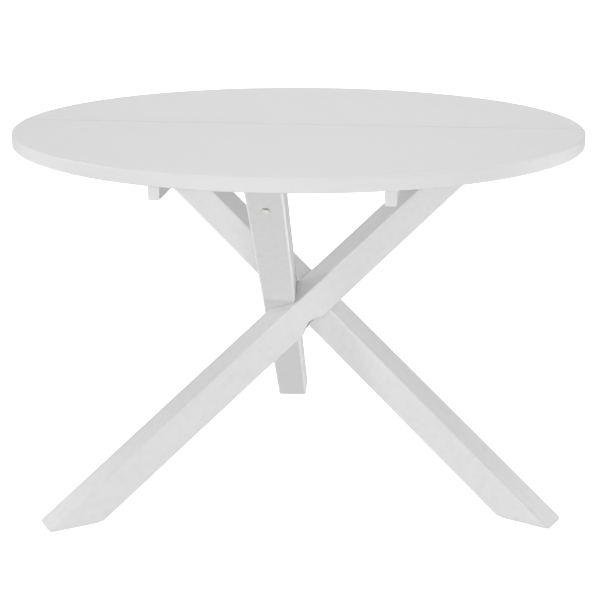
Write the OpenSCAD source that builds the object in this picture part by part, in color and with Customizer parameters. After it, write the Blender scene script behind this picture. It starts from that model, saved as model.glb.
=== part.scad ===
// Round table on three crossed legs.
// The top is two half-moons that meet on the X axis and are tied by two battens.
// Each leg is a square beam that leans at one slope. The three beams pass one another
// near mid-height, where each is notched into its two neighbours and bolted.
// Millimetres, +Z up, origin on the floor at the centre of the top.

/* [Top] */
// Diameter of the round top
top_diameter = 1150; // [1100:10:1300]
// Thickness of the top
top_thickness = 26; // [22:1:32]
// Height of the table, floor to top surface
table_height = 755; // [730:5:780]
// Radius of the rounded rim edges
rim_radius = 3; // [1:0.5:6]
// Gap between the two half-moons
seam_gap = 0.4; // [0.2:0.1:1]

/* [Battens] */
// Width of a batten
batten_width = 21; // [18:1:30]
// Height of a batten
batten_height = 45; // [40:1:50]
// Length of a batten
batten_length = 886; // [860:2:900]
// Distance between the two battens, centre to centre
batten_spacing = 419; // [400:1:450]
// Width of the bevel along the bottom edges of a batten
batten_bevel = 1.5; // [0.5:0.5:3]

/* [Legs] */
// Side of the square leg section
leg_width = 67; // [64:1:72]
// Radius of the long edges of a leg
leg_edge_radius = 6; // [3:0.5:9]
// Slope of a leg above the floor, in degrees
leg_slope = 36; // [35:0.5:37]
// Distance from the table's centre line to a leg's axis, where they pass closest
leg_offset = 36.5; // [36:0.5:38]
// Height at which a leg's axis passes the centre line
crossing_height = 385; // [375:5:395]
// Direction in which the first leg rises, seen from above, in degrees
first_leg_direction = -86.4; // [-90:0.2:-84]
// Clearance round a leg in its neighbour's notch
notch_clearance = 0.3; // [0.2:0.1:1]
// Gap between two legs where their notches meet face to face
notch_seat_gap = 0.2; // [0.1:0.1:0.5]

/* [Feet] */
// Thickness of the foot pads
pad_thickness = 3; // [2:0.5:5]
// Distance that the pads stand back from the sides of the leg
pad_inset = 2.5; // [1:0.5:5]

/* [Leg top joints] */
// Distance from the leg's closest point to the bolt, seen from above
top_bolt_reach = 454; // [448:1:458]
// Wood left between the bolt's washer and the top of the leg
top_bolt_seat = 30; // [26:1:32]
// Diameter of the counterbore in the underside of the leg
top_bolt_counterbore = 18; // [17:0.5:20]
// Distance from the bolt to the locating dowel, seen from above
top_dowel_spacing = 20; // [18:1:22]

/* [Crossing joints] */
// Radius of the scooped recess in the outer edge of a leg
scoop_radius = 41; // [36:1:50]
// Depth of the recess, measured from the sharp corner of the section
scoop_depth = 11; // [9:0.5:13]
// Diameter of the counterbore for the head of the bolt
crossing_counterbore = 20; // [18:1:22]
// Depth of the counterbore below the recess
crossing_counterbore_depth = 11; // [10:0.5:14]
// Distance from the bolt to each of its two dowels
crossing_dowel_spacing = 13; // [12:0.5:14]

/* [Hardware] */
// Thread diameter of the bolts
bolt_diameter = 8; // [6, 8]
// Diameter of the locating dowels
dowel_diameter = 8; // [6:1:8]
// Shank diameter of the batten screws
screw_diameter = 4.5; // [4:0.5:5]

/* [Hidden] */
$fn = 64;

paint = "whitesmoke";
steel = "silver";
brass = "khaki";
beech = "burlywood";
nylon = "lightgray";

// Length by which a cut runs past the face that it opens
over = 1;

// Heights of the underside and the middle of the top
underside = table_height - top_thickness;
mid_top = table_height - top_thickness / 2;

// Legs, by the place of their feet
REAR = 0;
FRONT_LEFT = 1;
FRONT_RIGHT = 2;
LEGS = [REAR, FRONT_LEFT, FRONT_RIGHT];
stock_length = 1500;

// Bolts, washers and threaded inserts
bolt_hole = bolt_diameter + 1;
bolt_head_diameter = 1.6 * bolt_diameter;
bolt_head_height = bolt_diameter;
socket_width = 0.75 * bolt_diameter;
socket_depth = 0.5 * bolt_diameter;
washer_diameter = 2 * bolt_diameter;
washer_thickness = 1.6;
washer_hole = bolt_diameter + 0.4;
insert_diameter = 1.5 * bolt_diameter;
insert_length = 15;
insert_recess = 1;
insert_hole = bolt_diameter + 0.2;
insert_pocket = insert_recess + insert_length;
top_bolt_engagement = 13;
crossing_bolt_engagement = 17;

// Radius that the cutter leaves in the corners of a notch
notch_corner = 1;

// Dowels
dowel_hole = dowel_diameter + 0.2;
seam_dowel_length = 60;
seam_dowel_places = [-470, -320, -110, 110, 320, 470];
top_dowel_in_top = 16;
top_dowel_in_leg = 24;
crossing_dowel_length = 30;

// Batten screws
screw_places = [-400, -230, -60, 60, 230, 400];
screw_length = 40;
screw_tip_diameter = 1;
screw_head_diameter = 2 * screw_diameter;
screw_head_height = 3;
screw_gap = 0.1;
screw_counterbore = 11;
screw_seat = 20;

// Directions and closest points of the three leg axes
function heading(k) = first_leg_direction + 120 * k;
function leg_axis(k) = [
    cos(leg_slope) * cos(heading(k)),
    cos(leg_slope) * sin(heading(k)),
    sin(leg_slope)
];
function leg_middle(k) = [
    leg_offset * sin(heading(k)),
    -leg_offset * cos(heading(k)),
    crossing_height
];

// The legs that leg k is bolted to: its own bolt runs into the one before it,
// and the bolt of the one after it runs into leg k
function before(k) = (k + 2) % 3;
function after(k) = (k + 1) % 3;

// Shortest line from the axis of leg k to the axis of the leg before it
function joint_normal(k) = cross(leg_axis(k), leg_axis(before(k)));
function along(k, other, on) =
    (leg_middle(other) - leg_middle(k)) * cross(leg_axis(on), joint_normal(k))
    / (joint_normal(k) * joint_normal(k));
function joint_start(k) =
    leg_middle(k) + along(k, before(k), before(k)) * leg_axis(k);
function joint_end(k) =
    leg_middle(before(k)) + along(k, before(k), k) * leg_axis(before(k));
function joint_middle(k) = (joint_start(k) + joint_end(k)) / 2;
function joint_direction(k) =
    (joint_end(k) - joint_start(k)) / norm(joint_end(k) - joint_start(k));

// Along a joint: from its middle to a leg's axis, and from there to the bolt's seat
half_gap = norm(joint_end(REAR) - joint_start(REAR)) / 2;
half_diagonal = leg_width / sqrt(2);
scoop_floor = half_gap + half_diagonal - scoop_depth;
crossing_seat = scoop_floor - crossing_counterbore_depth;

// Places: X up leg k, Z out of its upper face
module at_leg(k) {
    rotate([0, 0, heading(k)])
        translate([0, -leg_offset, crossing_height])
            rotate([0, -leg_slope, 0])
                children();
}

// Under the top, straight above the axis of leg k
module above_leg(k, reach) {
    rotate([0, 0, heading(k)])
        translate([reach, -leg_offset, underside])
            children();
}

// Half-way between leg k and the leg before it: X up leg k, Z towards the other leg
module at_joint(k) {
    x = leg_axis(k);
    z = joint_direction(k);
    y = cross(z, x);
    origin = joint_middle(k);
    multmatrix([
        [x.x, y.x, z.x, origin.x],
        [x.y, y.y, z.y, origin.y],
        [x.z, y.z, z.z, origin.z]
    ])
        children();
}

// Shapes that repeat
module rounded_square(side, radius) {
    inner = side - 2 * radius;
    square([side, inner], center = true);
    square([inner, side], center = true);
    for (x = [-1, 1], y = [-1, 1])
        translate([x * inner / 2, y * inner / 2])
            circle(r = radius);
}

module beam(side, radius) {
    rotate([0, 90, 0])
        linear_extrude(stock_length, center = true)
            rounded_square(side, radius);
}

module slab(bottom, top) {
    translate([-stock_length, -stock_length, bottom])
        cube([2 * stock_length, 2 * stock_length, top - bottom]);
}

// Runs up from a face, and past it by the overshoot
module blind_hole(diameter, depth) {
    translate([0, 0, -over])
        cylinder(d = diameter, h = depth + over);
}

module socket_bolt(length) {
    difference() {
        union() {
            translate([0, 0, -bolt_head_height])
                cylinder(d = bolt_head_diameter, h = bolt_head_height);
            cylinder(d = bolt_diameter, h = length);
        }
        translate([0, 0, -bolt_head_height - over])
            cylinder(d = socket_width / cos(30), h = socket_depth + over, $fn = 6);
    }
}

module washer() {
    difference() {
        cylinder(d = washer_diameter, h = washer_thickness);
        blind_hole(washer_hole, washer_thickness + over);
    }
}

module threaded_insert() {
    translate([0, 0, insert_recess])
        difference() {
            cylinder(d = insert_diameter, h = insert_length);
            blind_hole(insert_hole, insert_length + over);
        }
}

module wood_screw() {
    shank = screw_length - screw_diameter;
    cylinder(d1 = screw_head_diameter, d2 = screw_diameter, h = screw_head_height);
    cylinder(d = screw_diameter, h = shank);
    translate([0, 0, shank])
        cylinder(d1 = screw_diameter, d2 = screw_tip_diameter, h = screw_diameter);
}

// The top
module round_top() {
    radius = top_diameter / 2;
    translate([0, 0, underside])
        rotate_extrude($fn = 180) {
            square([radius - rim_radius, top_thickness]);
            translate([0, rim_radius])
                square([radius, top_thickness - 2 * rim_radius]);
            for (z = [rim_radius, top_thickness - rim_radius])
                translate([radius - rim_radius, z])
                    circle(r = rim_radius);
        }
}

module half_top(side, legs) {
    difference() {
        round_top();
        translate([-top_diameter, side > 0 ? seam_gap / 2 - top_diameter : -seam_gap / 2, 0])
            cube([2 * top_diameter, top_diameter, table_height + over]);
        seam_dowel_row(dowel_hole, seam_dowel_length + 2 * over);
        for (k = legs)
            top_joint_holes(k);
        for (x = [-1, 1])
            translate([x * batten_spacing / 2, 0, 0])
                screw_row()
                    cylinder(d = screw_diameter + screw_gap, h = screw_length + over);
    }
}

module top_joint_holes(k) {
    above_leg(k, top_bolt_reach)
        blind_hole(insert_diameter, insert_pocket);
    above_leg(k, top_bolt_reach - top_dowel_spacing)
        blind_hole(dowel_hole, top_dowel_in_top + over);
}

module top_front_half() {
    color(paint) half_top(-1, [REAR]);
}

module top_rear_half() {
    color(paint) half_top(1, [FRONT_LEFT, FRONT_RIGHT]);
}

module seam_dowel_row(diameter, length) {
    for (x = seam_dowel_places)
        translate([x, 0, mid_top])
            rotate([90, 0, 0])
                cylinder(d = diameter, h = length, center = true);
}

module seam_dowels() {
    color(beech) seam_dowel_row(dowel_diameter, seam_dowel_length);
}

// Battens across the seam
module screw_row() {
    for (y = screw_places)
        translate([0, y, underside - batten_height + screw_seat])
            children();
}

module batten(side) {
    translate([side * batten_spacing / 2, 0, 0])
        difference() {
            translate([0, 0, underside - batten_height])
                rotate([90, 0, 0])
                    linear_extrude(batten_length, center = true)
                        batten_section();
            screw_row()
                batten_screw_hole();
        }
}

module batten_section() {
    half = batten_width / 2;
    polygon([
        [-half, batten_height], [-half, batten_bevel], [-half + batten_bevel, 0],
        [half - batten_bevel, 0], [half, batten_bevel], [half, batten_height]
    ]);
}

// Counterbore from below, countersink for the head, and clearance for the shank
module batten_screw_hole() {
    translate([0, 0, -screw_seat - over])
        cylinder(d = screw_counterbore, h = screw_seat + over);
    cylinder(
        d1 = screw_head_diameter + screw_gap,
        d2 = screw_diameter + screw_gap,
        h = screw_head_height
    );
    cylinder(d = screw_diameter + screw_gap, h = batten_height);
}

module batten_screws(side) {
    translate([side * batten_spacing / 2, 0, 0])
        screw_row()
            wood_screw();
}

module batten_left() {
    color(paint) batten(-1);
}

module batten_right() {
    color(paint) batten(1);
}

module batten_left_screws() {
    color(steel) batten_screws(-1);
}

module batten_right_screws() {
    color(steel) batten_screws(1);
}

// Legs
module leg(k) {
    difference() {
        intersection() {
            at_leg(k) beam(leg_width, leg_edge_radius);
            slab(pad_thickness, underside);
        }
        notch(before(k), k, 1);
        notch(after(k), after(k), -1);
        top_joint_bores(k);
        head_side_bores(k);
        insert_side_bores(after(k));
    }
}

// The part of leg other that lies beyond the middle of a joint, with clearance round it
module notch(other, joint, side) {
    reach = 2 * leg_width;
    intersection() {
        at_leg(other)
            beam(leg_width + 2 * notch_clearance, notch_corner);
        at_joint(joint)
            translate([0, 0, side * (reach - notch_seat_gap / 2)])
                cube(2 * reach, center = true);
    }
}

module top_joint_bores(k) {
    above_leg(k, top_bolt_reach) {
        translate([0, 0, -top_bolt_seat - over])
            cylinder(d = bolt_hole, h = top_bolt_seat + 2 * over);
        translate([0, 0, -top_bolt_seat - 2 * leg_width])
            cylinder(d = top_bolt_counterbore, h = 2 * leg_width);
    }
    above_leg(k, top_bolt_reach - top_dowel_spacing)
        translate([0, 0, -top_dowel_in_leg - over])
            cylinder(d = dowel_hole, h = top_dowel_in_leg + 2 * over);
}

// Recess, counterbore, bolt hole and dowel holes in leg k, where the bolt goes in
module head_side_bores(k) {
    at_joint(k) {
        translate([0, 0, -scoop_floor - scoop_radius])
            rotate([90, 0, 0])
                cylinder(r = scoop_radius, h = 2 * leg_width, center = true);
        translate([0, 0, -crossing_seat - leg_width])
            cylinder(d = crossing_counterbore, h = leg_width);
        translate([0, 0, -crossing_seat - over])
            cylinder(d = bolt_hole, h = crossing_seat + 2 * over);
        crossing_dowel_pair(dowel_hole, crossing_dowel_length + 2 * over);
    }
}

// Pocket for the insert and dowel holes in the leg before leg k
module insert_side_bores(k) {
    at_joint(k) {
        blind_hole(insert_diameter, insert_pocket + over);
        crossing_dowel_pair(dowel_hole, crossing_dowel_length + 2 * over);
    }
}

module crossing_dowel_pair(diameter, length) {
    for (side = [-1, 1])
        translate([side * crossing_dowel_spacing, 0, 0])
            cylinder(d = diameter, h = length, center = true);
}

module leg_rear() {
    color(paint) leg(REAR);
}

module leg_front_left() {
    color(paint) leg(FRONT_LEFT);
}

module leg_front_right() {
    color(paint) leg(FRONT_RIGHT);
}

// Feet
module foot_pad(k) {
    intersection() {
        at_leg(k) beam(leg_width - 2 * pad_inset, leg_edge_radius);
        slab(0, pad_thickness);
    }
}

module foot_pad_rear() {
    color(nylon) foot_pad(REAR);
}

module foot_pad_front_left() {
    color(nylon) foot_pad(FRONT_LEFT);
}

module foot_pad_front_right() {
    color(nylon) foot_pad(FRONT_RIGHT);
}

// Hardware at the tops of the legs
module at_top_seats() {
    for (k = LEGS)
        above_leg(k, top_bolt_reach)
            translate([0, 0, -top_bolt_seat - washer_thickness])
                children();
}

module leg_top_bolts() {
    color(steel)
        at_top_seats()
            socket_bolt(washer_thickness + top_bolt_seat + top_bolt_engagement);
}

module leg_top_washers() {
    color(steel)
        at_top_seats()
            washer();
}

module leg_top_inserts() {
    color(brass)
        for (k = LEGS)
            above_leg(k, top_bolt_reach)
                threaded_insert();
}

module leg_top_dowels() {
    color(beech)
        for (k = LEGS)
            above_leg(k, top_bolt_reach - top_dowel_spacing)
                translate([0, 0, -top_dowel_in_leg])
                    cylinder(d = dowel_diameter, h = top_dowel_in_leg + top_dowel_in_top);
}

// Hardware where the legs cross
module at_crossing_seats() {
    for (k = LEGS)
        at_joint(k)
            translate([0, 0, -crossing_seat - washer_thickness])
                children();
}

module crossing_bolts() {
    color(steel)
        at_crossing_seats()
            socket_bolt(washer_thickness + crossing_seat + crossing_bolt_engagement);
}

module crossing_washers() {
    color(steel)
        at_crossing_seats()
            washer();
}

module crossing_inserts() {
    color(brass)
        for (k = LEGS)
            at_joint(k)
                threaded_insert();
}

module crossing_dowels() {
    color(beech)
        for (k = LEGS)
            at_joint(k)
                crossing_dowel_pair(dowel_diameter, crossing_dowel_length);
}

top_front_half();
top_rear_half();
seam_dowels();
batten_left();
batten_right();
batten_left_screws();
batten_right_screws();
leg_rear();
leg_front_left();
leg_front_right();
foot_pad_rear();
foot_pad_front_left();
foot_pad_front_right();
leg_top_bolts();
leg_top_washers();
leg_top_inserts();
leg_top_dowels();
crossing_bolts();
crossing_washers();
crossing_inserts();
crossing_dowels();
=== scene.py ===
import math

import bmesh
import bpy
from mathutils import Matrix, Vector


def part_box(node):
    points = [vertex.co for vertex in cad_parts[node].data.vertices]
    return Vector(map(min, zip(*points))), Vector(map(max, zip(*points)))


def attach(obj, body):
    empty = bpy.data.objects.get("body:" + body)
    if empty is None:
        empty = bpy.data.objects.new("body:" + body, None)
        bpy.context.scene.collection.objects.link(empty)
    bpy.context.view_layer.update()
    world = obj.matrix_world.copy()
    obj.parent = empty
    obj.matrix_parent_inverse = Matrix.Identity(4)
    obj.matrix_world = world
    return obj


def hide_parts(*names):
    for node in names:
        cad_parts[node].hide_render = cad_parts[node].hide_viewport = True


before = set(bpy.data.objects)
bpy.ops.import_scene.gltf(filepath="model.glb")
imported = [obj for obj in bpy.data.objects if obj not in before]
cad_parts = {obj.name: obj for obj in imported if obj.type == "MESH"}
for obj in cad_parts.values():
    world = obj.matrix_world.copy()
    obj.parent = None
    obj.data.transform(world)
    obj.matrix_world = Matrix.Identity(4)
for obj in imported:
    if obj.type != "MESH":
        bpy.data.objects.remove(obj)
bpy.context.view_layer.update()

scene = bpy.context.scene

MM = 0.001
BODY = "root"
FEET = ("rear", "front_left", "front_right")

# The camera, placed from the point of the floor below the centre of the top
CAMERA_DISTANCE = 2.8777
CAMERA_HEIGHT = 1.2046
CAMERA_AZIMUTH = 6.25
CAMERA_TURN = -0.064
CAMERA_PITCH = 15.95
CAMERA_ROLL = 0.086
CAMERA_LENS = 85.04
SENSOR_WIDTH = 36

# The studio. Each softbox is azimuth from the camera (positive to the left),
# elevation, angular width and strength. The bounce boards shine up from below the floor,
# which lets their light through and has a glow of its own, so that it stays white
SKY_STRENGTH = 0.33
STAGE_RADIUS = 60
FLOOR_GLOW = 0.6
SOFTBOXES = {
    "front_low": (0, 4, 22, 1.6),
    "front_high": (0, 24, 22, 0.18),
    "front_left": (36, 4, 22, 0.28),
    "front_right": (-36, 4, 22, 0.25),
    "left_key": (80, 10, 8, 0.55),
    "left_high": (60, 75, 35, 0.28),
    "right_low": (-105, -8, 22, 0.2),
    "rear_left": (120, 24, 22, 0.6),
    "rear_right": (-120, 24, 22, 0.7),
    "rear_high": (180, 48, 28, 1.24),
    "bounce_left": (130, -28, 30, 1.1),
    "bounce_rear": (-130, -28, 30, 1.0),
    "bounce_front": (-60, -65, 40, 0.68),
}
# Softboxes behind a polariser: they leave no glare on the lacquer
NO_GLARE = ("front_low", "front_high", "front_left", "front_right")

# How light the lacquer is on each kind of part
TOP_TONE = 0.70
BATTEN_TONE = 0.70
LEG_TONE = 0.70
# Width of the painted shade line along the seam between the top's halves
SEAM_SHADE_WIDTH = 1.2 * MM

# Painted shade in a bolt's counterbore: between these depths the lacquer darkens to this brown,
# standing in for the shadow deep in the hole
BORE_SHADE_DEPTHS = (4.2 * MM, 5.6 * MM)
BORE_SHADE_COLOUR = (0.36, 0.27, 0.18, 1)
COUNTERBORE_RADIUS = 9 * MM

# Woodwork
EASED = 0.5 * MM
SHARP_ANGLE = math.radians(35)
WELD = 0.002 * MM
FLAT = math.radians(0.3)

# Threads: pitch and depth
BOLT_THREAD = (1.25 * MM, 0.7 * MM)
BOLT_THREAD_LENGTH = 24 * MM
INSERT_THREAD = (3 * MM, 1 * MM)
SCREW_THREAD = (2 * MM, 0.8 * MM)
STATIONS_PER_TURN = 6

# Segments round each kind of hardware
BOLT_AROUND = 36
WASHER_AROUND = 48
INSERT_AROUND = 48
SCREW_AROUND = 24
KNURLS = 12
FLUTES = 16
# Half of the slot's width, as the sine of the angle that it covers
SLOT_HALF_WIDTH = 0.16

# Proportions: a head's radius over its shank's, a bore over its outside, and the plain
# part of a screw over its length
BOLT_HEAD = 1.6
SCREW_HEAD = 2
WASHER_BORE = 0.53
INSERT_BORE = 0.69
SCREW_SHANK = 0.35


def link(obj):
    scene.collection.objects.link(obj)
    return obj


# Camera, light and floor


def make_camera():
    data = bpy.data.cameras.new("camera")
    data.lens = CAMERA_LENS
    data.sensor_width = SENSOR_WIDTH
    data.clip_end = 3 * STAGE_RADIUS
    camera = link(bpy.data.objects.new("camera", data))
    around = math.radians(CAMERA_AZIMUTH)
    place = Vector((math.sin(around), -math.cos(around), 0)) * CAMERA_DISTANCE
    place.z = CAMERA_HEIGHT
    camera.matrix_world = (
        Matrix.Translation(place)
        @ Matrix.Rotation(around + math.radians(CAMERA_TURN), 4, "Z")
        @ Matrix.Rotation(math.radians(90 - CAMERA_PITCH), 4, "X")
        @ Matrix.Rotation(math.radians(CAMERA_ROLL), 4, "Z")
    )
    scene.camera = camera


def make_softbox(name, azimuth, elevation, width, strength):
    data = bpy.data.lights.new(name, "SUN")
    data.angle = math.radians(width)
    data.energy = strength
    turn = math.radians(CAMERA_AZIMUTH - azimuth)
    lift = math.radians(elevation)
    away = Vector((
        math.sin(turn) * math.cos(lift),
        -math.cos(turn) * math.cos(lift),
        math.sin(lift),
    ))
    box = link(bpy.data.objects.new(name, data))
    box.rotation_euler = away.to_track_quat("Z", "Y").to_euler()
    box.visible_glossy = name not in NO_GLARE


def make_studio():
    scene.view_settings.view_transform = "Standard"
    world = bpy.data.worlds.new("studio")
    world.use_nodes = True
    sky = world.node_tree.nodes["Background"]
    sky.inputs["Color"].default_value = (1, 1, 1, 1)
    sky.inputs["Strength"].default_value = SKY_STRENGTH
    scene.world = world
    for name, setting in SOFTBOXES.items():
        make_softbox(name, *setting)


def make_stage(name, bm, material):
    """Something round the object that the camera sees, and that takes no part in its light."""
    mesh = bpy.data.meshes.new(name)
    bm.to_mesh(mesh)
    bm.free()
    mesh.materials.append(material)
    stage = link(bpy.data.objects.new(name, mesh))
    stage.visible_diffuse = False
    stage.visible_glossy = False
    stage.visible_shadow = False


def make_floor():
    bm = bmesh.new()
    bmesh.ops.create_circle(bm, cap_ends=True, segments=96, radius=STAGE_RADIUS)
    make_stage("floor", bm, floor_material())


def make_backdrop():
    bm = bmesh.new()
    bmesh.ops.create_uvsphere(bm, u_segments=48, v_segments=24, radius=STAGE_RADIUS)
    make_stage("backdrop", bm, backdrop_material())


# Materials


class Nodes:
    """A material's nodes, made one call at a time."""

    def __init__(self, name):
        self.material = bpy.data.materials.new(name)
        self.material.use_nodes = True
        self.tree = self.material.node_tree
        self.shader = self.tree.nodes["Principled BSDF"]

    def add(self, kind, settings=None, **inputs):
        node = self.tree.nodes.new(kind)
        for key, value in (settings or {}).items():
            setattr(node, key, value)
        for key, value in inputs.items():
            self.set(node, key.replace("_", " "), value)
        return node

    def set(self, node, socket, value):
        if isinstance(value, bpy.types.NodeSocket):
            self.tree.links.new(value, node.inputs[socket])
        else:
            node.inputs[socket].default_value = value

    def place(self, offset=(0, 0, 0), scale=(1, 1, 1)):
        """The piece's own coordinates, in metres, moved and stretched."""
        local = self.add("ShaderNodeAttribute", {"attribute_name": "local"})
        mapping = self.add("ShaderNodeMapping", Vector=local.outputs["Vector"])
        mapping.inputs["Location"].default_value = offset
        mapping.inputs["Scale"].default_value = scale
        return mapping.outputs["Vector"]

    def stored(self, name):
        """A number kept on each vertex."""
        return self.add("ShaderNodeAttribute", {"attribute_name": name}).outputs["Fac"]

    def distance_from_x_axis(self):
        apart = self.add("ShaderNodeSeparateXYZ", Vector=self.place())
        return self.add("ShaderNodeMath", {"operation": "ABSOLUTE"}, **{
            "Value": apart.outputs["Y"]
        }).outputs[0]

    def noise(self, where, scale, detail=3.0, roughness=0.5):
        node = self.add(
            "ShaderNodeTexNoise", Vector=where, Scale=scale, Detail=detail, Roughness=roughness
        )
        return node.outputs["Fac"]

    def remap(self, value, low, high, to_low, to_high):
        node = self.add("ShaderNodeMapRange", Value=value)
        node.inputs["From Min"].default_value = low
        node.inputs["From Max"].default_value = high
        node.inputs["To Min"].default_value = to_low
        node.inputs["To Max"].default_value = to_high
        return node.outputs["Result"]

    def mix(self, factor, first, second):
        """Mixes two colours. Each kind of mix has its own A and B, hence the numbers."""
        node = self.add("ShaderNodeMix", {"data_type": "RGBA"})
        self.set(node, 0, factor)
        self.set(node, 6, first)
        self.set(node, 7, second)
        return node.outputs[2]

    def multiply(self, first, second):
        node = self.add("ShaderNodeMath", {"operation": "MULTIPLY"})
        self.set(node, 0, first)
        self.set(node, 1, second)
        return node.outputs[0]

    def bump(self, height, distance, strength=1.0, under=None):
        node = self.add("ShaderNodeBump", Height=height, Distance=distance, Strength=strength)
        if under is not None:
            self.set(node, "Normal", under)
        return node.outputs["Normal"]

    def finish(self, **inputs):
        for key, value in inputs.items():
            self.set(self.shader, key.replace("_", " "), value)
        return self.material


def grey(value, warmth=0.0):
    return (value * (1 + warmth), value, value * (1 - warmth), 1)


def lacquer(name, tone, offset, grain=0.0, seam=False):
    """Sprayed satin lacquer: an even colour, orange peel, and edges where it lies thinner.
    Deep in the counterbores it takes a dark brown painted shade. grain is how far the wood's
    fibres show through.
    A seam gets a dark painted shade line along X."""
    n = Nodes(name)
    own = n.place(offset)
    cloud = n.remap(n.noise(own, 5, 2), 0.3, 0.7, 0, 1)
    colour = n.mix(cloud, grey(tone * 0.995), grey(tone * 1.005))
    speck = n.remap(n.noise(own, 1400, 1), 0.2, 0.8, 0, 0.25)
    colour = n.mix(speck, colour, grey(tone * 0.975))
    edge = n.stored("edge")
    rubbed = n.multiply(edge, n.remap(n.noise(own, 60, 4), 0.45, 0.75, 0, 0.5))
    colour = n.mix(rubbed, colour, grey(tone * 0.9, 0.012))
    # Painted shade: a dark, patchy line along the seam, for the shade in the joint between the
    # halves
    if seam:
        near = n.remap(n.distance_from_x_axis(), SEAM_SHADE_WIDTH / 3, SEAM_SHADE_WIDTH, 1, 0)
        patchy = n.remap(n.noise(own, 4, 2), 0.4, 0.6, 0.4, 1)
        colour = n.mix(n.multiply(near, patchy), colour, grey(tone * 0.3, 0.01))
    # Painted shade: dark brown deep in the counterbores, for the shadow in the holes
    bore_shade = n.remap(n.stored("depth"), *BORE_SHADE_DEPTHS, 0, 1)
    colour = n.mix(bore_shade, colour, BORE_SHADE_COLOUR)
    normal = n.bump(n.noise(own, 420, 2), 0.06 * MM, 0.2)
    if grain:
        fibres = n.noise(n.place(offset, (6, 260, 260)), 1, 3, 0.6)
        normal = n.bump(fibres, 0.05 * MM, grain, normal)
    gloss = n.remap(n.noise(own, 28, 3), 0.3, 0.7, 0.42, 0.46)
    return n.finish(Base_Color=colour, Roughness=gloss, Normal=normal)


def bare_wood(name):
    """Turned beech: pale, with fine fibres along Z and short dark flecks."""
    n = Nodes(name)
    fibres = n.noise(n.place(scale=(900, 900, 40)), 1, 4, 0.65)
    colour = n.mix(fibres, (0.62, 0.43, 0.25, 1), (0.78, 0.60, 0.39, 1))
    flecks = n.remap(n.noise(n.place(scale=(2600, 2600, 300)), 1, 1), 0.62, 0.70, 0, 0.6)
    colour = n.mix(flecks, colour, (0.36, 0.21, 0.11, 1))
    rough = n.remap(fibres, 0.3, 0.7, 0.62, 0.78)
    return n.finish(Base_Color=colour, Roughness=rough, Normal=n.bump(fibres, 0.1 * MM, 0.5))


def turned_metal(name, light, dark, rough):
    """Plated or turned metal: clouded colour, and fine marks round its Z axis."""
    n = Nodes(name)
    cloud = n.remap(n.noise(n.place(), 380, 3), 0.35, 0.65, 0, 1)
    colour = n.mix(cloud, dark, light)
    marks = n.noise(n.place(scale=(700, 700, 9000)), 1, 2)
    gloss = n.remap(marks, 0.3, 0.7, rough - 0.06, rough + 0.10)
    scratched = n.bump(marks, 0.02 * MM, 0.4)
    return n.finish(Base_Color=colour, Roughness=gloss, Normal=scratched, Metallic=1.0)


def moulded_nylon(name):
    """Matt moulded plastic with a spark-eroded texture."""
    n = Nodes(name)
    own = n.place()
    cloud = n.noise(own, 60, 3)
    colour = n.mix(cloud, grey(0.60), grey(0.66))
    texture = n.noise(own, 2600, 2)
    scuffs = n.noise(n.place(scale=(900, 60, 60)), 1, 3)
    rough = n.remap(scuffs, 0.3, 0.7, 0.55, 0.72)
    return n.finish(Base_Color=colour, Roughness=rough, Normal=n.bump(texture, 0.05 * MM, 0.6))


def floor_material():
    n = Nodes("studio_floor")
    where = n.add("ShaderNodeTexCoord").outputs["Object"]
    colour = n.mix(n.noise(where, 1.5, 2), grey(0.93), grey(0.95))
    n.shader.inputs["Emission Color"].default_value = (1, 1, 1, 1)
    n.shader.inputs["Emission Strength"].default_value = FLOOR_GLOW
    n.shader.inputs["Specular IOR Level"].default_value = 0
    return n.finish(Base_Color=colour, Roughness=0.9)


def backdrop_material():
    n = Nodes("studio_backdrop")
    n.shader.inputs["Emission Color"].default_value = (1, 1, 1, 1)
    n.shader.inputs["Emission Strength"].default_value = 1
    n.shader.inputs["Specular IOR Level"].default_value = 0
    return n.finish(Base_Color=grey(0.9))


# Pieces


def make_piece(name, bm, material, nodes, own_frame=None):
    """Turns bm into a piece that stands for CAD nodes. own_frame gives its local axes."""
    mesh = bpy.data.meshes.new(name)
    if own_frame is not None:
        store_local(bm, own_frame.inverted())
    for face in bm.faces:
        face.smooth = True
    bm.to_mesh(mesh)
    bm.free()
    mesh.materials.append(material)
    piece = link(bpy.data.objects.new(name, mesh))
    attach(piece, BODY)
    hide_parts(*nodes)
    return piece


def store_local(bm, to_local):
    """Keeps each vertex's place in the piece's own axes, for the material."""
    layer = bm.verts.layers.float_vector.get("local") or bm.verts.layers.float_vector.new("local")
    for v in bm.verts:
        v[layer] = to_local @ v.co


def welded(node):
    """The CAD node's shape with its split vertices joined and its flat faces whole."""
    bm = bmesh.new()
    bm.from_mesh(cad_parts[node].data)
    bmesh.ops.remove_doubles(bm, verts=bm.verts, dist=WELD)
    bmesh.ops.dissolve_limit(bm, angle_limit=FLAT, verts=bm.verts, edges=bm.edges)
    return bm


def ease_edges(bm, width, segments=2):
    """Takes the sharp edges off, and marks what they become as worn edge."""
    layer = bm.verts.layers.float.new("edge")
    sharp = [e for e in bm.edges if e.is_manifold and e.calc_face_angle() > SHARP_ANGLE]
    made = bmesh.ops.bevel(
        bm, geom=sharp, offset=width, offset_type="OFFSET", segments=segments,
        profile=0.5, affect="EDGES", clamp_overlap=True,
    )
    for v in made["verts"]:
        v[layer] = 1


def mark_counterbores(bm, own_frame):
    """Keeps how deep each vertex beside a leg-top bolt lies, from the piece's lower face, for the
    painted shade in the counterbores.
    """
    layer = bm.verts.layers.float.new("depth")
    own = own_frame.inverted()
    lowest = min((own @ v.co).z for v in bm.verts)
    for bolt in solids("leg_top_bolts"):
        axis = middle(bolt).xy
        for v in bm.verts:
            if (v.co.xy - axis).length < COUNTERBORE_RADIUS + EASED / 5:
                v[layer] = (own @ v.co).z - lowest


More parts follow.
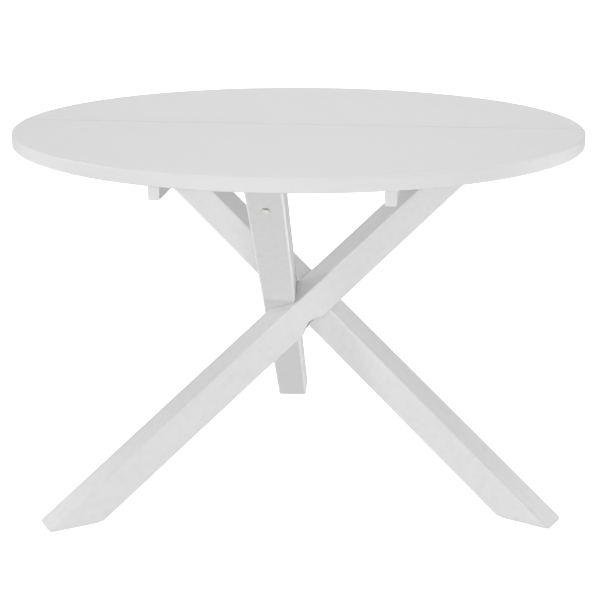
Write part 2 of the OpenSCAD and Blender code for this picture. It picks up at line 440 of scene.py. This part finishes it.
def add_weighted_normals(piece):
    weigh = piece.modifiers.new("weighted_normals", "WEIGHTED_NORMAL")
    weigh.keep_sharp = True
    weigh.weight = 100


def end_centre(bm, height):
    """The centre of a beam's section at one height."""
    ring = [v.co for v in bm.verts if abs(v.co.z - height) < EASED / 2]
    low = Vector(map(min, *ring))
    high = Vector(map(max, *ring))
    return (low + high) / 2


def beam_frame(bm, node):
    """Axes of a leaning beam: X up along it, Y level, Z out of its upper face."""
    low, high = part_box(node)
    foot = end_centre(bm, low.z)
    x = (end_centre(bm, high.z) - foot).normalized()
    y = Vector((0, 0, 1)).cross(x).normalized()
    z = x.cross(y)
    axes = Matrix((x, y, z)).transposed().to_4x4()
    return Matrix.Translation(foot) @ axes


def make_wooden_piece(name, node, material, own_frame=None):
    bm = welded(node)
    if own_frame is None:
        own_frame = beam_frame(bm, node)
    ease_edges(bm, EASED)
    mark_counterbores(bm, own_frame)
    piece = make_piece(name, bm, material, [node], own_frame)
    add_weighted_normals(piece)
    return piece


def make_woodwork():
    across = Matrix.Rotation(math.radians(90), 4, "Z")
    for index, half in enumerate(("front", "rear")):
        material = lacquer(f"lacquer_top_{half}", TOP_TONE, (3.1 * index, 1.7, 0.4), seam=True)
        node = f"top_{half}_half"
        make_wooden_piece(f"half_moon_{half}", node, material, Matrix())
    for index, side in enumerate(("left", "right")):
        material = lacquer(f"lacquer_batten_{side}", BATTEN_TONE, (0.3, 2.3 * index, 5), 0.1)
        make_wooden_piece(
            f"crossbar_{side}", f"batten_{side}", material, across
        )
    for index, foot in enumerate(FEET):
        material = lacquer(f"lacquer_leg_{foot}", LEG_TONE, (1.9 * index, 0.8, 2), 0.1)
        make_wooden_piece(f"beam_{foot}", f"leg_{foot}", material)
    nylon = moulded_nylon("nylon")
    for foot in FEET:
        make_wooden_piece(f"glide_{foot}", f"foot_pad_{foot}", nylon, Matrix())


# Hardware. Each kind is a turned solid along Z, from its head or near end at zero.
# It is a list of stations, and a station turns an angle into a radius and a height


def flat(radius, height):
    return lambda angle: (radius, height)


def hexagon(across_flats, height):
    sixth = math.pi / 3
    return lambda angle: (across_flats / 2 / math.cos(angle % sixth - sixth / 2), height)


def lobed(radius, depth, count, height):
    """A ring with count grooves pressed into it."""
    return lambda angle: (radius - depth * max(0, math.cos(count * angle)), height)


def slotted(radius, height, depth):
    """A ring with a slot across it."""
    return lambda angle: (radius, height + depth * (abs(math.sin(angle)) < SLOT_HALF_WIDTH))


def threaded(radius, depth, pitch, height):
    """One section through a thread, whose ridge moves round as the height grows."""
    def station(angle):
        turn = height / pitch - angle / (2 * math.pi)
        return radius - depth * abs(2 * (turn % 1) - 1), height
    return station


def thread(radius, kind, low, high):
    pitch, depth = kind
    count = round((high - low) / pitch * STATIONS_PER_TURN)
    heights = (low + (high - low) * i / count for i in range(count + 1))
    return [threaded(radius, depth, pitch, z) for z in heights]


def turn_solid(bm, place, stations, around, bored=False):
    """Adds a solid with a ring of vertices for each station. A bored one joins end to end."""
    local = bm.verts.layers.float_vector["local"]
    rings = []
    for station in stations:
        ring = []
        for i in range(around):
            angle = 2 * math.pi * i / around
            radius, height = station(angle)
            point = Vector((radius * math.cos(angle), radius * math.sin(angle), height))
            v = bm.verts.new(place @ point)
            v[local] = point
            ring.append(v)
        rings.append(ring)
    following = rings[1:] + rings[:1] if bored else rings[1:]
    for low, high in zip(rings, following):
        for i in range(around):
            j = (i + 1) % around
            bm.faces.new((low[i], low[j], high[j], high[i]))
    if not bored:
        bm.faces.new(rings[0])
        bm.faces.new(rings[-1])


def socket_bolt(length, head_radius):
    """A knurled head with a hexagon socket, a plain shank and a chamfered thread."""
    radius = head_radius / BOLT_HEAD
    head = 2 * radius
    lip = head / 16
    root = radius - BOLT_THREAD[1]
    start = length - BOLT_THREAD_LENGTH
    return [
        flat(lip, radius + 2 * lip),
        hexagon(1.5 * radius, radius),
        hexagon(1.5 * radius, lip / 2),
        hexagon(1.6 * radius, 0),
        flat(head_radius - 1.5 * lip, 0),
        flat(head_radius - lip / 2, lip),
        lobed(head_radius, lip / 2, KNURLS, 1.5 * lip),
        lobed(head_radius, lip / 2, KNURLS, head - lip),
        flat(head_radius - lip / 2, head - lip / 2),
        flat(head_radius - lip, head),
        flat(radius + lip / 2, head),
        flat(radius, head + lip / 2),
        flat(radius, start),
        *thread(radius, BOLT_THREAD, start + lip, length - lip),
        flat(root, length),
    ]


def washer(length, radius):
    """A pressed washer, rounded on its punched side."""
    bore = WASHER_BORE * radius
    soft = length / 4
    return [
        flat(bore, soft), flat(bore + soft, 0),
        flat(radius - soft, 0), flat(radius - soft / 4, soft / 3), flat(radius, soft),
        flat(radius, length - soft / 3), flat(radius - soft / 3, length),
        flat(bore + soft / 3, length), flat(bore, length - soft / 3),
    ]


def threaded_insert(length, radius):
    """A coarse thread outside, a fine one inside, and a slot across its near end."""
    pitch, depth = BOLT_THREAD
    bore = INSERT_BORE * radius
    root = radius - INSERT_THREAD[1]
    slot = length / 9
    inside = thread(bore + depth / 2, (pitch, depth / 2), slot + pitch, length - pitch / 2)
    return [
        slotted(root, 0, slot),
        *thread(radius, INSERT_THREAD, slot + depth, length - depth),
        flat(root, length),
        flat(bore + depth / 2, length),
        *reversed(inside),
        slotted(bore + depth / 2, 0, slot),
    ]


def fluted_dowel(length, radius):
    """Grooved along its length, with chamfered ends."""
    chamfer = radius / 4
    groove = radius / 16
    return [
        flat(radius - chamfer, 0),
        lobed(radius, groove, FLUTES, chamfer),
        lobed(radius, groove, FLUTES, length / 2),
        lobed(radius, groove, FLUTES, length - chamfer),
        flat(radius - chamfer, length),
    ]


def wood_screw(length, head_radius):
    """A countersunk head with a crossed recess, a plain shank, a thread and a point."""
    radius = head_radius / SCREW_HEAD
    pitch, depth = SCREW_THREAD
    core = radius - depth
    head = head_radius * 2 / 3
    rim = head / 15
    start = SCREW_SHANK * length
    point = length - 2 * radius
    tip = [
        threaded(radius * (1 - t), depth * (1 - t), pitch, point + 2 * radius * t)
        for t in (0.15, 0.3, 0.45, 0.6, 0.75)
    ]
    return [
        flat(rim, 0.8 * head),
        lobed(0.8 * radius, 0.5 * radius, 4, 0.7 * head),
        lobed(1.1 * radius, 0.6 * radius, 4, 0),
        flat(head_radius - rim, 0),
        flat(head_radius - rim / 2, rim / 2),
        flat(core + rim, head),
        flat(core + rim, start),
        *thread(radius, SCREW_THREAD, start + depth, point),
        *tip,
        flat(rim, length),
    ]


def solids(node):
    """The vertices of each separate solid in a CAD node."""
    bm = welded(node)
    found = []
    seen = set()
    for first in bm.verts:
        if first in seen:
            continue
        seen.add(first)
        waiting = [first]
        points = []
        while waiting:
            v = waiting.pop()
            points.append(v.co.copy())
            for edge in v.link_edges:
                other = edge.other_vert(v)
                if other not in seen:
                    seen.add(other)
                    waiting.append(other)
        found.append(points)
    bm.free()
    return found


def middle(points):
    return (Vector(map(min, *points)) + Vector(map(max, *points))) / 2


def stand(points, direction):
    """A frame with Z along a solid's axis and its origin at the near end, and the size."""
    turn = direction.to_track_quat("Z", "Y").to_matrix()
    turned = [turn.transposed() @ p for p in points]
    low = Vector(map(min, *turned))
    high = Vector(map(max, *turned))
    centre = (low + high) / 2
    origin = turn @ Vector((centre.x, centre.y, low.z))
    return Matrix.Translation(origin) @ turn.to_4x4(), high.z - low.z, (high.x - low.x) / 2


def crossing_bolts():
    """The middle of each crossing bolt, and its direction from head to tip."""
    along = [beam_frame(welded(f"leg_{foot}"), f"leg_{foot}").col[0].to_3d() for foot in FEET]
    across = [along[i - 1].cross(along[i]) for i in range(len(FEET))]
    bolts = []
    for points in solids("crossing_bolts"):
        direction = max(across, key=lambda way: stand(points, way)[1])
        place, _, widest = stand(points, direction)
        head = [p for p in points if (place.inverted() @ p).xy.length > 0.9 * widest]
        if (middle(head) - middle(points)).dot(direction) > 0:
            direction = -direction
        bolts.append((middle(points), direction))
    return bolts


def up(points):
    return Vector((0, 0, 1))


def back(points):
    return Vector((0, 1, 0))


def nearest_direction(bolts):
    """Gives each fastener at a crossing the direction of the bolt nearest to it."""
    def choose(points):
        centre = middle(points)
        return min(bolts, key=lambda bolt: (bolt[0] - centre).length)[1]
    return choose


def make_hardware(name, node, shape, around, direction, material, bored=False):
    """One piece for all the fasteners of a CAD node. direction gives each one's axis."""
    bm = bmesh.new()
    bm.verts.layers.float_vector.new("local")
    for points in solids(node):
        place, length, radius = stand(points, direction(points))
        turn_solid(bm, place, shape(length, radius), around, bored)
    bmesh.ops.recalc_face_normals(bm, faces=bm.faces)
    piece = make_piece(name, bm, material, [node])
    piece.data.set_sharp_from_angle(angle=SHARP_ANGLE)


def make_all_hardware():
    zinc = turned_metal("zinc_plate", (0.78, 0.79, 0.80, 1), (0.62, 0.64, 0.66, 1), 0.30)
    brass = turned_metal("turned_brass", (0.86, 0.68, 0.36, 1), (0.74, 0.55, 0.26, 1), 0.26)
    beech = bare_wood("beech")
    joint = nearest_direction(crossing_bolts())
    for place, direction in (("leg_top", up), ("crossing", joint)):
        node = f"{place}_bolts"
        make_hardware(f"{place}_bolt_set", node, socket_bolt, BOLT_AROUND, direction, zinc)
        node = f"{place}_washers"
        make_hardware(
            f"{place}_washer_set", node, washer, WASHER_AROUND, direction, zinc, True
        )
        node = f"{place}_inserts"
        make_hardware(
            f"{place}_insert_set", node, threaded_insert, INSERT_AROUND, direction,
            brass, True,
        )
        node = f"{place}_dowels"
        make_hardware(
            f"{place}_dowel_set", node, fluted_dowel, 4 * FLUTES, direction, beech
        )
    make_hardware("seam_dowel_set", "seam_dowels", fluted_dowel, 4 * FLUTES, back, beech)
    for side in ("left", "right"):
        node = f"batten_{side}_screws"
        make_hardware(f"screw_set_{side}", node, wood_screw, SCREW_AROUND, up, zinc)


make_camera()
make_studio()
make_floor()
make_backdrop()
make_woodwork()
make_all_hardware()
